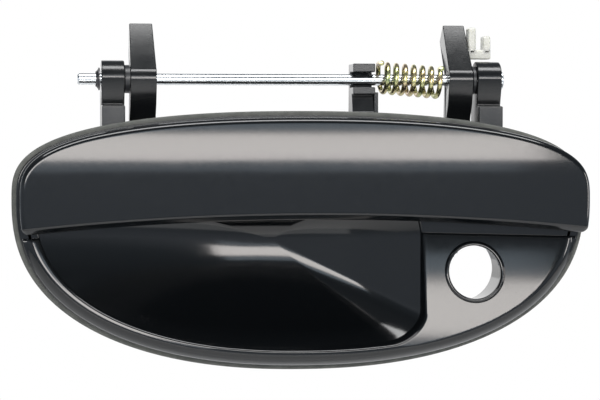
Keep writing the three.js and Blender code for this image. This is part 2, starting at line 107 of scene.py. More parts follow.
EAR_RADIUS = 6.5
EAR_STEP_Z = 46.0
EAR_STEP_REACH = 4.2
EAR_NECK_LEAN = 3.1
LEFT_EAR = (-69.0, -61.05)
RIGHT_EAR = (63.0, 71.6)
LEFT_ARM = (-59.0, -49.9)
RIGHT_ARM = (53.0, 61.7)
LUG = (18.8, 26.6)
HUB_RADIUS = 5.0
ARM_RISE = 19.9
ARM_REACH = 16.0
ARM_TAPER = 0.5
ARM_FOOT = (26.2, 32.4)
ARM_SLOT_SIDE = 0.9
ARM_SLOT_Z = (22.8, 38.3)
SHELF_Z = (24.0, 26.4)

CLIP_WIDTH = 8.4
CLIP_DEPTH = 5.2
CLIP_BASE = 3.4
CLIP_PRONG = 2.8
CLIP_GAP = 2.5
CLIP_RISE = (9.6, 6.6)
CLIP_DROP = 10.6
CLIP_REACH = 7.2

SPRING_X = (28.6, 50.4)
SPRING_RADIUS = 4.93
WIRE_RADIUS = 0.87
SPRING_TURNS = 7
SPRING_SAG = (0.8, -1.0)

KEY = (59.3, -11.6)
KEY_RADIUS = 9.1
KEY_PANEL = 2.4
KEY_BOSS_RADIUS = 11.4
KEY_BOSS_REAR = 16.0
KEY_BOSS_WALL = 1.6

STUDS = {"left": (-80.0, 24.0), "right": (82.0, 20.0)}
STUD_RADIUS = 3.0
STUD_BOSS_REAR = 3.0
STUD_LENGTH = 18.0
BUMPERS = {"left": (-91.5, 14.0), "right": (91.5, 12.0)}


# ---------------------------------------------------------------- mesh helpers

class Shape:
    """Collects points and faces in millimetres and makes one object from them."""

    def __init__(self):
        self.points = []
        self.faces = []

    def add(self, points, faces):
        first = len(self.points)
        self.points.extend(tuple(p) for p in points)
        self.faces.extend(tuple(first + i for i in face) for face in faces)

    def grid(self, rows, close_rows=False, close_columns=False, flip=False):
        """Joins rows of points; rows is an array of shape (rows, columns, 3)."""
        rows = np.asarray(rows, float)
        count, width = rows.shape[:2]
        faces = []
        for r in range(count if close_rows else count - 1):
            for c in range(width if close_columns else width - 1):
                r1, c1 = (r + 1) % count, (c + 1) % width
                quad = (r * width + c, r * width + c1, r1 * width + c1, r1 * width + c)
                faces.append(quad[::-1] if flip else quad)
        self.add(rows.reshape(-1, 3), faces)

    def fan(self, ring, centre, flip=False):
        ring = [tuple(p) for p in ring]
        count = len(ring)
        faces = [(i, (i + 1) % count, count) for i in range(count)]
        self.add(ring + [tuple(centre)], [f[::-1] for f in faces] if flip else faces)

    def object(self, name, material, merge=1e-4, sharp=32.0):
        mesh = bpy.data.meshes.new(name)
        mesh.from_pydata([(x * MM, y * MM, z * MM) for x, y, z in self.points], [], self.faces)
        work = bmesh.new()
        work.from_mesh(mesh)
        bmesh.ops.remove_doubles(work, verts=work.verts, dist=merge * MM)
        bmesh.ops.dissolve_degenerate(work, edges=work.edges, dist=1e-9)
        bmesh.ops.recalc_face_normals(work, faces=work.faces)
        work.to_mesh(mesh)
        work.free()
        return finish(mesh, name, material, sharp)


def finish(mesh, name, material, sharp=32.0):
    mesh.shade_smooth()
    mesh.set_sharp_from_angle(angle=math.radians(sharp))
    mesh.materials.clear()
    mesh.materials.append(material)
    piece = bpy.data.objects.new(name, mesh)
    bpy.context.scene.collection.objects.link(piece)
    return piece


def apply_modifiers(piece):
    """Turns an object's modifiers into its mesh."""
    graph = bpy.context.evaluated_depsgraph_get()
    mesh = bpy.data.meshes.new_from_object(piece.evaluated_get(graph))
    piece.modifiers.clear()
    piece.data = mesh
    return piece


def bevel(piece, width, segments=3, angle=30.0):
    modifier = piece.modifiers.new("edges", "BEVEL")
    modifier.width = width * MM
    modifier.segments = segments
    modifier.limit_method = "ANGLE"
    modifier.angle_limit = math.radians(angle)
    modifier.harden_normals = True
    return apply_modifiers(piece)


def combine(piece, others, operation):
    """Exact boolean of a piece with other closed pieces, which are used up."""
    for other in others:
        modifier = piece.modifiers.new("cut", "BOOLEAN")
        modifier.operation = operation
        modifier.solver = "EXACT"
        modifier.object = other
        apply_modifiers(piece)
        bpy.data.objects.remove(other)
    return piece


def join(name, pieces):
    """Makes one object from several."""
    work = bmesh.new()
    for piece in pieces:
        work.from_mesh(piece.data)
    mesh = bpy.data.meshes.new(name)
    work.to_mesh(mesh)
    work.free()
    mesh.materials.append(pieces[0].data.materials[0])
    whole = bpy.data.objects.new(name, mesh)
    bpy.context.scene.collection.objects.link(whole)
    for piece in pieces:
        bpy.data.objects.remove(piece)
    return whole


def lathe(name, profile, centre, axis, material, segments=72, sharp=32.0):
    """Turns a closed [(radius, along)] profile about an axis, "X" or "Y", through (y or x, z)."""
    shape = Shape()
    turns = np.linspace(0, 2 * math.pi, segments, endpoint=False)
    rows = []
    for turn in turns:
        c, s = math.cos(turn), math.sin(turn)
        if axis == "X":
            rows.append([(along, centre[0] + r * c, centre[1] + r * s) for r, along in profile])
        else:
            rows.append([(centre[0] + r * c, along, centre[1] + r * s) for r, along in profile])
    shape.grid(rows, close_rows=True, close_columns=True)
    return shape.object(name, material, sharp=sharp)


def profile_x(name, outline, x0, x1, material, spread=None):
    """A [y, z] outline carried along X; spread(y, z) narrows each end by that much."""
    spread = spread or (lambda y, z: 0.0)
    count = len(outline)
    points = [(x0 + spread(y, z), y, z) for y, z in outline]
    points += [(x1 - spread(y, z), y, z) for y, z in outline]
    faces = [tuple(range(count)), tuple(range(2 * count - 1, count - 1, -1))]
    faces += [(i, count + i, count + (i + 1) % count, (i + 1) % count) for i in range(count)]
    shape = Shape()
    shape.add(points, faces)
    return shape.object(name, material)


def box_piece(name, low, high, material):
    (x0, y0, z0), (x1, y1, z1) = low, high
    return profile_x(name, [(y0, z0), (y1, z0), (y1, z1), (y0, z1)], x0, x1, material)


def arc(cy, cz, radius, start, end, steps=10):
    """Points on a circle in the Y-Z plane, angles in degrees from +Y towards +Z."""
    turns = np.radians(np.linspace(start, end, steps))
    return [(cy + radius * math.cos(t), cz + radius * math.sin(t)) for t in turns]


# ---------------------------------------------------------------- outlines and surfaces

def oval_field(x, z, oval=OVAL):
    """About how far a point lies outside an oval; negative inside."""
    rise = z - oval["mid"]
    reach = np.where(rise > 0, oval["above"], oval["below"])
    power = np.where(rise > 0, oval["top_p"], oval["low_p"])
    u = np.abs(x) / oval["half"]
    v = np.abs(rise) / reach
    slope_x = oval["side_p"] * u ** (oval["side_p"] - 1) / oval["half"]
    slope_z = power * v ** (power - 1) / reach
    return (u ** oval["side_p"] + v ** power - 1) / np.maximum(np.hypot(slope_x, slope_z), 1e-4)


def round_max(a, b, radius):
    """Overlap of two fields with rounded corners."""
    corner = np.hypot(np.maximum(a + radius, 0), np.maximum(b + radius, 0))
    return np.minimum(-radius, np.maximum(a, b)) + corner


def flange_field(x, z):
    return oval_field(x, z) + FLANGE_INSET


def pocket_field(x, z):
    lower = round_max(oval_field(x, z) + POCKET_RIM, x - POCKET_RIGHT, POCKET_CORNER)
    return round_max(lower, z - POCKET_TOP, POCKET_TOP_CORNER)


def across_grip(x):
    return (x - GRIP_SHIFT) / GRIP_OVAL["half"]


def crease(x):
    return CREASE_Z - CREASE_ARCH * across_grip(x) ** 2


def grip_oval_field(x, z):
    return oval_field(x - GRIP_SHIFT, z, GRIP_OVAL)


def grip_field(x, z):
    return round_max(grip_oval_field(x, z), crease(x) - LIP_HEIGHT - z, GRIP_CORNER)


def edge_points(field, cx, cz, angles, reach=200.0):
    """Where rays from a centre cross the edge of a field."""
    angles = np.asarray(angles, float)
    near = np.zeros_like(angles)
    far = np.full_like(angles, reach)
    for _ in range(44):
        middle = (near + far) / 2
        inside = field(cx + middle * np.cos(angles), cz + middle * np.sin(angles)) < 0
        near = np.where(inside, middle, near)
        far = np.where(inside, far, middle)
    return cx + near * np.cos(angles), cz + near * np.sin(angles)


def ring_angles(count, squash=0.5):
    turns = np.linspace(0, 2 * math.pi, count, endpoint=False)
    return np.arctan2(squash * np.sin(turns), np.cos(turns))


def fillet(distance, radius):
    """How far a rounded edge has fallen at a distance inside it."""
    left = np.clip(radius - np.maximum(distance, 0), 0, radius)
    return radius - np.sqrt(np.maximum(radius * radius - left * left, 0))


def soft_step(value, width):
    """A ramp that starts smoothly at 0 and grows by 1 for 1."""
    t = np.clip(value / width, -1, 1)
    return np.where(value > width, value, width * (t + 1) ** 2 / 4)


def grip_face(x, z):
    crown = GRIP_CURVE * np.maximum(z - GRIP_CROWN_Z, 0) ** 2 + GRIP_END_DROP * across_grip(x) ** 2
    edge = fillet(-grip_oval_field(x, z), GRIP_FILLET)
    lip = LIP_DEPTH / LIP_HEIGHT * soft_step(crease(x) - z, 0.35)
    under = fillet(z - crease(x) + LIP_HEIGHT, 0.5)
    return -GRIP_FRONT + crown + edge + lip + under


def bezel_surface(x, z):
    """Front of the lower bezel before its edges are rounded."""
    up = np.maximum(z + OVAL["below"] - OVAL["mid"] - POCKET_RIM, 0)
    ramp = RAMP_START * up + RAMP_CURVE * up * up
    distance = -flange_field(x, z)
    roll = ROLL_DEPTH * np.maximum(1 - distance / EDGE_ROLL, 0) ** 2.2
    return np.minimum(FLANGE_FRONT - BEZEL_HEIGHT + ramp + roll, FLANGE_FRONT - 0.6)


# ---------------------------------------------------------------- materials

def new_material(name, color, roughness, metallic=0.0):
    material = bpy.data.materials.new(name)
    material.use_nodes = True
    shader = material.node_tree.nodes["Principled BSDF"]
    shader.inputs["Base Color"].default_value = (*color, 1)
    shader.inputs["Roughness"].default_value = roughness
    shader.inputs["Metallic"].default_value = metallic
    return material, material.node_tree, shader


def noise(tree, scale, detail=4.0, stretch=(1, 1, 1), roughness=0.55):
    """Noise over the object's own coordinates; scale counts per metre."""
    place = tree.nodes.new("ShaderNodeTexCoord")
    mapping = tree.nodes.new("ShaderNodeMapping")
    mapping.inputs["Scale"].default_value = stretch
    texture = tree.nodes.new("ShaderNodeTexNoise")
    texture.inputs["Scale"].default_value = scale
    texture.inputs["Detail"].default_value = detail
    texture.inputs["Roughness"].default_value = roughness
    tree.links.new(place.outputs["Object"], mapping.inputs["Vector"])
    tree.links.new(mapping.outputs["Vector"], texture.inputs["Vector"])
    return texture.outputs["Fac"]


def ramp(tree, source, stops):
    """A colour ramp of (position, colour) stops."""
    node = tree.nodes.new("ShaderNodeValToRGB")
    while len(node.color_ramp.elements) < len(stops):
        node.color_ramp.elements.new(0.5)
    for element, (position, color) in zip(node.color_ramp.elements, stops):
        element.position = position
        element.color = (*color, 1) if len(color) == 3 else color
    tree.links.new(source, node.inputs["Fac"])
    return node.outputs["Color"]


def spread_roughness(tree, shader, source, low, high):
    node = tree.nodes.new("ShaderNodeMapRange")
    node.inputs["To Min"].default_value = low
    node.inputs["To Max"].default_value = high
    tree.links.new(source, node.inputs["Value"])
    tree.links.new(node.outputs["Result"], shader.inputs["Roughness"])


def bump(tree, shader, source, distance, strength=1.0, below=None):
    node = tree.nodes.new("ShaderNodeBump")
    node.inputs["Distance"].default_value = distance
    node.inputs["Strength"].default_value = strength
    tree.links.new(source, node.inputs["Height"])
    if below is not None:
        tree.links.new(below, node.inputs["Normal"])
    tree.links.new(node.outputs["Normal"], shader.inputs["Normal"])
    return node.outputs["Normal"]


def gloss_black():
    """Polished black moulding: faint flow waves, fine dust haze."""
    material, tree, shader = new_material("gloss_black", (0.003, 0.0036, 0.0042), 0.08)
    shader.inputs["IOR"].default_value = 1.5
    waves = bump(tree, shader, noise(tree, 38, 1.0, (0.6, 1, 1.4)), 0.00006)
    bump(tree, shader, noise(tree, 900, 3.0), 0.0000025, below=waves)
    dust = noise(tree, 420, 8.0, roughness=0.7)
    spread_roughness(tree, shader, dust, 0.06, 0.15)
    plain = (0.003, 0.0036, 0.0042)
    specks = ramp(tree, noise(tree, 1500, 2.0), [(0.0, plain), (0.72, plain), (0.82, (0.02, 0.023, 0.026))])
    tree.links.new(specks, shader.inputs["Base Color"])
    return material


def satin_black():
    """The same plastic where the tool was left unpolished, behind the door skin."""
    material, tree, shader = new_material("satin_black", (0.0045, 0.005, 0.0055), 0.2)
    grain = noise(tree, 2600, 4.0)
    bump(tree, shader, grain, 0.000012)
    spread_roughness(tree, shader, noise(tree, 160, 5.0), 0.14, 0.26)
    return material


def seal_rubber():
    material, tree, shader = new_material("seal_rubber", (0.1, 0.104, 0.094), 0.75)
    tone = ramp(tree, noise(tree, 300, 6.0), [(0.3, (0.05, 0.053, 0.048)), (0.7, (0.085, 0.088, 0.08))])
    tree.links.new(tone, shader.inputs["Base Color"])
    bump(tree, shader, noise(tree, 3200, 3.0), 0.00004)
    return material


def buffer_rubber():
    material, tree, shader = new_material("buffer_rubber", (0.02, 0.02, 0.02), 0.7)
    bump(tree, shader, noise(tree, 2800, 3.0), 0.00003)
    spread_roughness(tree, shader, noise(tree, 500, 4.0), 0.6, 0.85)
    return material


def bright_zinc():
    """Plated steel with slight clouding."""
    material, tree, shader = new_material("bright_zinc", (0.72, 0.75, 0.76), 0.2, 1.0)
    clouds = noise(tree, 240, 4.0, (0.2, 1, 1))
    tone = ramp(tree, clouds, [(0.3, (0.62, 0.65, 0.67)), (0.7, (0.8, 0.82, 0.83))])
    tree.links.new(tone, shader.inputs["Base Color"])
    spread_roughness(tree, shader, noise(tree, 300, 4.0, (0.2, 1, 1)), 0.18, 0.23)
    return material


def yellow_zinc():
    """Passivated spring wire: straw yellow drifting to green and to violet brown."""
    material, tree, shader = new_material("yellow_zinc", (0.5, 0.43, 0.22), 0.26, 1.0)
    tone = ramp(tree, noise(tree, 170, 3.0), [(0.25, (0.3, 0.36, 0.18)), (0.45, (0.46, 0.44, 0.22)),
                                              (0.6, (0.5, 0.4, 0.25)), (0.78, (0.3, 0.18, 0.17))])
    tree.links.new(tone, shader.inputs["Base Color"])
    spread_roughness(tree, shader, noise(tree, 1200, 4.0), 0.18, 0.34)
    return material


def dark_steel():
    material, tree, shader = new_material("dark_steel", (0.09, 0.09, 0.1), 0.35, 1.0)
    tone = ramp(tree, noise(tree, 600, 4.0), [(0.3, (0.06, 0.06, 0.07)), (0.7, (0.13, 0.125, 0.12))])
    tree.links.new(tone, shader.inputs["Base Color"])
    spread_roughness(tree, shader, noise(tree, 900, 4.0), 0.25, 0.45)
    return material


def bush_nylon():
    material, tree, shader = new_material("bush_nylon", (0.014, 0.015, 0.017), 0.35)
    bump(tree, shader, noise(tree, 2400, 2.0), 0.00001)
    spread_roughness(tree, shader, noise(tree, 700, 3.0), 0.28, 0.42)
    return material


def clip_nylon():
    """Natural nylon, slightly see-through at its thin edges."""
    material, tree, shader = new_material("clip_nylon", (0.78, 0.78, 0.74), 0.38)
    shader.inputs["Subsurface Weight"].default_value = 0.4
    shader.inputs["Subsurface Radius"].default_value = (0.003, 0.003, 0.0026)
    shader.inputs["Subsurface Scale"].default_value = 1.0
    tone = ramp(tree, noise(tree, 260, 3.0), [(0.3, (0.42, 0.42, 0.38)), (0.7, (0.5, 0.5, 0.46))])
    tree.links.new(tone, shader.inputs["Base Color"])
    spread_roughness(tree, shader, noise(tree, 800, 3.0), 0.3, 0.46)
    return material


GLOSS = gloss_black()
SATIN = satin_black()
SEAL = seal_rubber()
BUFFER = buffer_rubber()
ZINC = bright_zinc()
YELLOW = yellow_zinc()
STEEL = dark_steel()
BUSH = bush_nylon()
CLIP = clip_nylon()


def place(piece, body, node, slot_name):
    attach(piece, body)
    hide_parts(node)


# ---------------------------------------------------------------- housing

def graded(length, fine, step, edges=(0.0, 0.03, 0.1, 0.22, 0.38, 0.6, 0.85, 1.15)):
    """Fractions of a length with close steps near both ends."""
    near = [e * fine for e in edges]
    middle = np.linspace(near[-1], length - near[-1], max(3, int((length - 2 * near[-1]) / step) + 2))
    stops = near[:-1] + list(middle) + [length - e for e in near[-2::-1]]
    return np.array(stops) / length


def bezel_rim():
    """The raised C-shaped bezel and lock panel, from flange to crest to the mouth of the pocket."""
    hx, hz = BEZEL_HUB
    reach = OVAL["half"] - FLANGE_INSET
    right = -math.atan2(BEZEL_EDGE_DROP, reach - hx)
    left = -math.pi + math.atan2(BEZEL_EDGE_DROP, reach + hx)
    ends = np.array([0.0, 0.0006, 0.0016, 0.003, 0.005, 0.0075, 0.0105])
    middle = np.linspace(ends[-1], 1 - ends[-1], 330)
    spread = np.concatenate([ends[:-1], middle, 1 - ends[-2::-1]])
    angles = right + (left - right) * spread
    step_in = 0.45  # the raised part stands this far inside the flange's edge
    outer_x, outer_z = edge_points(lambda x, z: flange_field(x, z) + step_in, hx, hz, angles)
    inner_x, inner_z = edge_points(pocket_field, hx, hz, angles)
    levels = graded(1.0, 0.05, 0.02)
    x = inner_x[:, None] + (outer_x - inner_x)[:, None] * levels
    z = inner_z[:, None] + (outer_z - inner_z)[:, None] * levels
    from_right = -(-(x - hx) * math.sin(right) + (z - hz) * math.cos(right))
    from_left = -((x - hx) * math.sin(left) - (z - hz) * math.cos(left))
    from_top = np.where(x > hx, from_right, from_left)
    y = bezel_surface(x, z)
    y = y + fillet(from_top, 0.9) + fillet(pocket_field(x, z), 1.3)
    y = y + fillet(-flange_field(x, z) - step_in, 0.5)
    y = np.minimum(y, FLANGE_FRONT)
    face = np.stack([x, y, z], axis=-1)
    shape = Shape()
    keep_out = np.hypot(x - KEY[0], z - KEY[1])
    rows, columns = x.shape
    faces = []
    for r in range(rows - 1):
        for c in range(columns - 1):
            if keep_out[r:r + 2, c:c + 2].max() > KEY_RADIUS + 0.9:
                here, above = r * columns + c, (r + 1) * columns + c
                faces.append((here, here + 1, above + 1, above))
    shape.add(face.reshape(-1, 3), faces)
    floor = face.copy()
    floor[..., 1] = FLANGE_FRONT + 0.2
    for edge, base in ((face[:, 0], floor[:, 0]), (face[:, -1], floor[:, -1]),
                       (face[0], floor[0]), (face[-1], floor[-1])):
        shape.grid([edge, base])
    return shape.object("rim", GLOSS, sharp=40)


def arm_slots():
    """Blocks that cut the flange where the arms pass through it."""
    return [box_piece("cut", (low - ARM_SLOT_SIDE, -9, ARM_SLOT_Z[0]),
                      (high + ARM_SLOT_SIDE, 5, ARM_SLOT_Z[1]), GLOSS)
            for low, high in (LEFT_ARM, RIGHT_ARM)]


def flange_edge():
    """Rounded edge of the flange, all round."""
    angles = ring_angles(420)
    section = [(4.0, FLANGE_FRONT), (0.8, FLANGE_FRONT), (0.6, FLANGE_FRONT), (0.55, FLANGE_FRONT),
               (0.3, FLANGE_FRONT + 0.05), (0.12, FLANGE_FRONT + 0.18),
               (0.02, FLANGE_FRONT + 0.38), (0.0, FLANGE_FRONT + 0.6), (0.0, FLANGE_REAR - 0.3),
               (0.08, FLANGE_REAR - 0.08), (0.3, FLANGE_REAR), (4.0, FLANGE_REAR)]
    rows = []
    for inset, y in section:
        x, z = edge_points(lambda a, b: flange_field(a, b) + inset, 0, 5, angles)
        rows.append(np.stack([x, np.full_like(x, y), z], axis=-1))
    shape = Shape()
    shape.grid(rows, close_rows=True, close_columns=True)
    return combine(shape.object("flange_edge", GLOSS), arm_slots(), "DIFFERENCE")


def plug(name, field, centre, count, y0, y1, squash=0.5):
    angles = ring_angles(count, squash)
    x, z = edge_points(field, *centre, angles)
    low = np.stack([x, np.full_like(x, y0), z], axis=-1)
    high = np.stack([x, np.full_like(x, y1), z], axis=-1)
    shape = Shape()
    shape.grid([low, high], close_columns=True)
    shape.faces.append(tuple(range(count)))
    shape.faces.append(tuple(range(2 * count - 1, count - 1, -1)))
    return shape.object(name, GLOSS)


def rod_y(name, radius, x, z, y0, y1, count=48):
    shape = Shape()
    turns = np.linspace(0, 2 * math.pi, count, endpoint=False)
    rows = [[(x + radius * math.cos(t), y, z + radius * math.sin(t)) for t in turns] for y in (y0, y1)]
    shape.grid(rows, close_columns=True)
    shape.faces.append(tuple(range(count)))
    shape.faces.append(tuple(range(2 * count - 1, count - 1, -1)))
    return shape.object(name, GLOSS)


def lock_cavity_field(x, z):
    side = round_max(flange_field(x, z) + 6.5, POCKET_RIGHT + 2 * WALL - x, 4)
    return round_max(side, z + 2, 4)


def back_plate():
    """The flat floor behind the grip and rim, with its openings."""
    plate = plug("plate", lambda x, z: flange_field(x, z) + 3.0, (0, 5), 260, FLANGE_FRONT, FLANGE_REAR)
    cuts = [plug("cut", lambda x, z: pocket_field(x, z) - 1.2, POCKET_HUB, 200, -9, 3),
            plug("cut", lock_cavity_field, KEY, 80, -9, 3)]
    cuts += arm_slots()
    for x, z in STUDS.values():
        cuts.append(rod_y("cut", STUD_RADIUS + 0.3, x, z, -9, 5))
    for x, z in BUMPERS.values():
        cuts.append(rod_y("cut", 1.7, x, z, -9, 5))
    return bevel(combine(plate, cuts, "DIFFERENCE"), 0.25, 2)


def bowl():
    """Finger pocket: inner and outer skins, joined round its mouth."""
    shape = Shape()
    count = 300
    angles = ring_angles(count)
    mouth = edge_points(pocket_field, *POCKET_HUB, angles)
    lip = edge_points(lambda x, z: pocket_field(x, z) - 1.0, *POCKET_HUB, angles)
    outer = edge_points(lambda x, z: pocket_field(x, z) - WALL, *POCKET_HUB, angles)

    def ring(edge, size, y):
        x = POCKET_HUB[0] + size * (edge[0] - POCKET_HUB[0])
        z = POCKET_HUB[1] + size * (edge[1] - POCKET_HUB[1])
        return np.stack([x, np.full_like(x, y), z], axis=-1)

    rows = []
    for turn in np.linspace(0, 90, 7):
        blend = 1 - math.sin(math.radians(turn))
        edge = [m + blend * (w - m) for m, w in zip(mouth, lip)]
        rows.append(ring(edge, 1, FLANGE_FRONT + 1.0 * (1 - math.cos(math.radians(turn)))))
    for size in np.linspace(1, 0, 47)[:-1]:
        rows.append(ring(mouth, size, FLANGE_REAR + POCKET_DEPTH * (1 - size ** 2)))
    shape.grid(rows, close_columns=True)
    shape.fan(rows[-1], (POCKET_HUB[0], FLANGE_REAR + POCKET_DEPTH, POCKET_HUB[1]))
    back = []
    for size in np.linspace(1, 0, 27)[:-1]:
        back.append(ring(outer, size, FLANGE_REAR + (POCKET_DEPTH + WALL) * (1 - size ** 2)))
    shape.grid([ring(outer, 1, FLANGE_FRONT + 0.3)] + back, close_columns=True, flip=True)
    shape.fan(back[-1], (POCKET_HUB[0], FLANGE_REAR + POCKET_DEPTH + WALL, POCKET_HUB[1]), flip=True)
    shape.grid([rows[0], ring(outer, 1, FLANGE_FRONT + 0.3)], close_columns=True)
    return shape.object("bowl", GLOSS)


def lock_ring():
    """Raised ring that follows the panel's slope, and the lock boss behind it."""
    profile = [(10.9, 0.15), (10.65, -0.02), (10.45, -0.25), (10.25, -0.55), (10.0, -0.74), (9.75, -0.8),
               (9.5, -0.74), (9.3, -0.55), (9.16, -0.25), (KEY_RADIUS, 0.2)]
    turns = np.linspace(0, 2 * math.pi, 128, endpoint=False)
    rows = []
    for radius, rise in profile:
        x = KEY[0] + radius * np.cos(turns)
        z = KEY[1] + radius * np.sin(turns)
        rows.append(np.stack([x, bezel_surface(x, z) + rise, z], axis=-1))

    def straight(radius, y):
        x = KEY[0] + radius * np.cos(turns)
        z = KEY[1] + radius * np.sin(turns)
        return np.stack([x, np.full_like(turns, y), z], axis=-1)

    def sloped(radius, drop):
        x = KEY[0] + radius * np.cos(turns)
        z = KEY[1] + radius * np.sin(turns)
        return np.stack([x, bezel_surface(x, z) + drop, z], axis=-1)

    rear = KEY_BOSS_REAR
    inside = KEY_BOSS_RADIUS
    outside = inside + KEY_BOSS_WALL
    rows += [sloped(KEY_RADIUS, KEY_PANEL - 0.2), sloped(KEY_RADIUS + 0.2, KEY_PANEL),
             sloped(inside, KEY_PANEL),
             straight(inside, rear - 0.4), straight(inside + 0.4, rear),
             straight(outside - 0.4, rear), straight(outside, rear - 0.4),
             straight(outside, FLANGE_FRONT - 1.5)]
    shape = Shape()
    shape.grid(rows, close_columns=True)
    return shape.object("lock_ring", GLOSS)


def seal_inside_top(edge_x):
    inside = lambda x, z: oval_field(x, z) + GASKET_WIDTH + 0.3
    return float(edge_points(inside, edge_x, OVAL["mid"], [math.pi / 2])[1][0])


def ear(x0, x1):
    top = seal_inside_top(max(abs(x0), abs(x1)))
    neck = AXIS_Y - EAR_RADIUS + EAR_NECK_LEAN
    foot = neck - EAR_STEP_REACH
    outline = arc(AXIS_Y, AXIS_Z, EAR_RADIUS, 0, 180, 30)
    outline += [(neck, EAR_STEP_Z + 0.4), (foot, EAR_STEP_Z), (foot, top),
                (FLANGE_REAR - 0.4, top), (FLANGE_REAR - 0.4, 25), (AXIS_Y - 4, 25), (AXIS_Y + 6, 30)]
    return bevel(profile_x("ear", outline, x0, x1, SATIN), 0.45)


def middle_lug():
    y, z = AXIS_Y, AXIS_Z
    top = seal_inside_top(LUG[1])
    outline = [(y - 1.5, z - 5.2), (y - 4.6, z - 5.2), (y - 4.6, z - 2.6),
               (y + 2.7, z - 2.6), (y + 2.7, z + 2.6),
               (y - 4.6, z + 2.6), (y - 4.6, z + 5.6), (y + 6, z + 5.6), (y + 7, 30), (y - 4, 24),
               (FLANGE_REAR - 0.4, 27), (FLANGE_REAR - 0.4, top), (0.3, top), (y - 7, 41.5), (y - 3, 44)]
    rib = [(y - 3.2, z - 4.4), (y + 6, z - 4.4), (y + 6, 32), (y - 3, 32)]
    post = bevel(profile_x("lug", outline, *LUG, SATIN), 0.4)
    side = bevel(profile_x("lug_rib", rib, LUG[1] - 0.2, LUG[1] + 1.3, SATIN), 0.3)
    return [post, side]


def housing():
    parts = [bezel_rim(), flange_edge(), back_plate(), bowl(), lock_ring()]
    behind = [ear(*LEFT_EAR), ear(*RIGHT_EAR), *middle_lug()]
    for x, z in STUDS.values():
        boss = rod_y("boss", 7, x, z, FLANGE_REAR - 0.3, STUD_BOSS_REAR, 64)
        hole = rod_y("hole", STUD_RADIUS + 0.3, x, z, -5, 5)
        behind.append(bevel(combine(boss, [hole], "DIFFERENCE"), 0.5))
    low = (LEFT_EAR[0] + 0.3, FLANGE_REAR - 0.2, SHELF_Z[0])
    high = (RIGHT_EAR[1] - 0.3, STUD_BOSS_REAR, SHELF_Z[1])
    shelf = box_piece("shelf", low, high, SATIN)
    behind.append(bevel(shelf, 0.4))
    front = join("bezel_housing_gloss", parts)
    rear = join("bezel_housing_mounts", behind)
    rear.data.materials[0] = SATIN
    for piece in (front, rear):
        place(piece, "housing", "bezel_housing", "gloss_black")


def gasket():
    """Flat seal with a rounded outer edge and a thin raised bead round the bezel."""
    section = [(0.0, -0.5), (0.06, -0.2), (0.25, 0.0), (GASKET_WIDTH - 0.3, 0.0), (GASKET_WIDTH, -0.3),
               (GASKET_WIDTH, GASKET_FRONT + 0.3), (GASKET_WIDTH - 0.3, GASKET_FRONT), (1.2, GASKET_FRONT),
               (0.6, GASKET_FRONT + 0.02), (0.3, GASKET_FRONT + 0.12), (0.1, GASKET_FRONT + 0.32),
               (0.0, GASKET_FRONT + 0.6)]
    angles = ring_angles(420)
    rows = []
    for inset, y in section:
        x, z = edge_points(lambda a, b: oval_field(a, b) + inset, 0, 5, angles)
        rows.append(np.stack([x, np.full_like(x, y), z], axis=-1))
    shape = Shape()
    shape.grid(rows, close_rows=True, close_columns=True)
    place(shape.object("door_gasket_seal", SEAL), "housing", "door_gasket", "seal_rubber")


# ---------------------------------------------------------------- rod, spring and fasteners

def rod():
    x0, x1 = ROD_X
    r, (head, thick) = ROD_RADIUS, ROD_HEAD
    end = x1 + thick
    profile = [(0.001, x0), (r - 0.5, x0), (r, x0 + 0.5), (r, x1), (head - 0.25, x1), (head, x1 + 0.2),
               (head, end - 0.45), (head - 0.3, end - 0.15), (head - 0.9, end), (0.001, end)]
    bar = lathe("pivot_rod_bar", profile, (AXIS_Y, AXIS_Z), "X", ZINC, 64)
    place(bar, "housing", "pivot_rod", "bright_zinc")


def push_nut():
    """Dished spring-steel washer with gripping tabs."""
    shape = Shape()
    base = LEFT_EAR[0] - 0.45
    teeth = 6
    turns = np.linspace(0, 2 * math.pi, 120, endpoint=False)
    notch = 0.5 + 0.5 * np.cos(turns * teeth)
    slot_depth = np.where(notch > 0.9, 1.0, 0.0)
    rows = []
    profile = [(2.12, -1.35, 0.7), (2.9, -1.0, 0.0), (3.5, -0.5, 0.0), (3.9, -0.45, 0.0), (3.9, 0.0, 0.0),
               (3.5, 0.0, 0.0), (2.9, -0.6, 0.0), (2.12, -1.0, 0.7)]
    for radius, along, slotted in profile:
        reach = radius + slot_depth * slotted
        rows.append(np.stack([np.full_like(turns, base + along), AXIS_Y + reach * np.cos(turns),
                              AXIS_Z + reach * np.sin(turns)], axis=-1))
    shape.grid(rows, close_rows=True, close_columns=True)
    place(shape.object("rod_push_nut_washer", STEEL), "housing", "rod_push_nut", "dark_steel")


def sweep(name, path, radius, material, sides=16):
    """Round wire along a list of points, with closed ends."""
    path = np.asarray(path, float)
    tangents = np.gradient(path, axis=0)
    tangents /= np.linalg.norm(tangents, axis=1)[:, None]
    across = np.cross(tangents[0], (1.0, 0.3, 0.2))
    rows = []
    for point, tangent in zip(path, tangents):
        across = across - tangent * np.dot(across, tangent)
        across /= np.linalg.norm(across)
        other = np.cross(tangent, across)
        rows.append([point + radius * (math.cos(t) * across + math.sin(t) * other)
                     for t in np.linspace(0, 2 * math.pi, sides, endpoint=False)])
    shape = Shape()
    shape.grid(rows, close_columns=True)
    shape.fan(rows[0], path[0] - 0.3 * radius * tangents[0], flip=True)
    shape.fan(rows[-1], path[-1] + 0.3 * radius * tangents[-1])
    return shape.object(name, material, sharp=60)


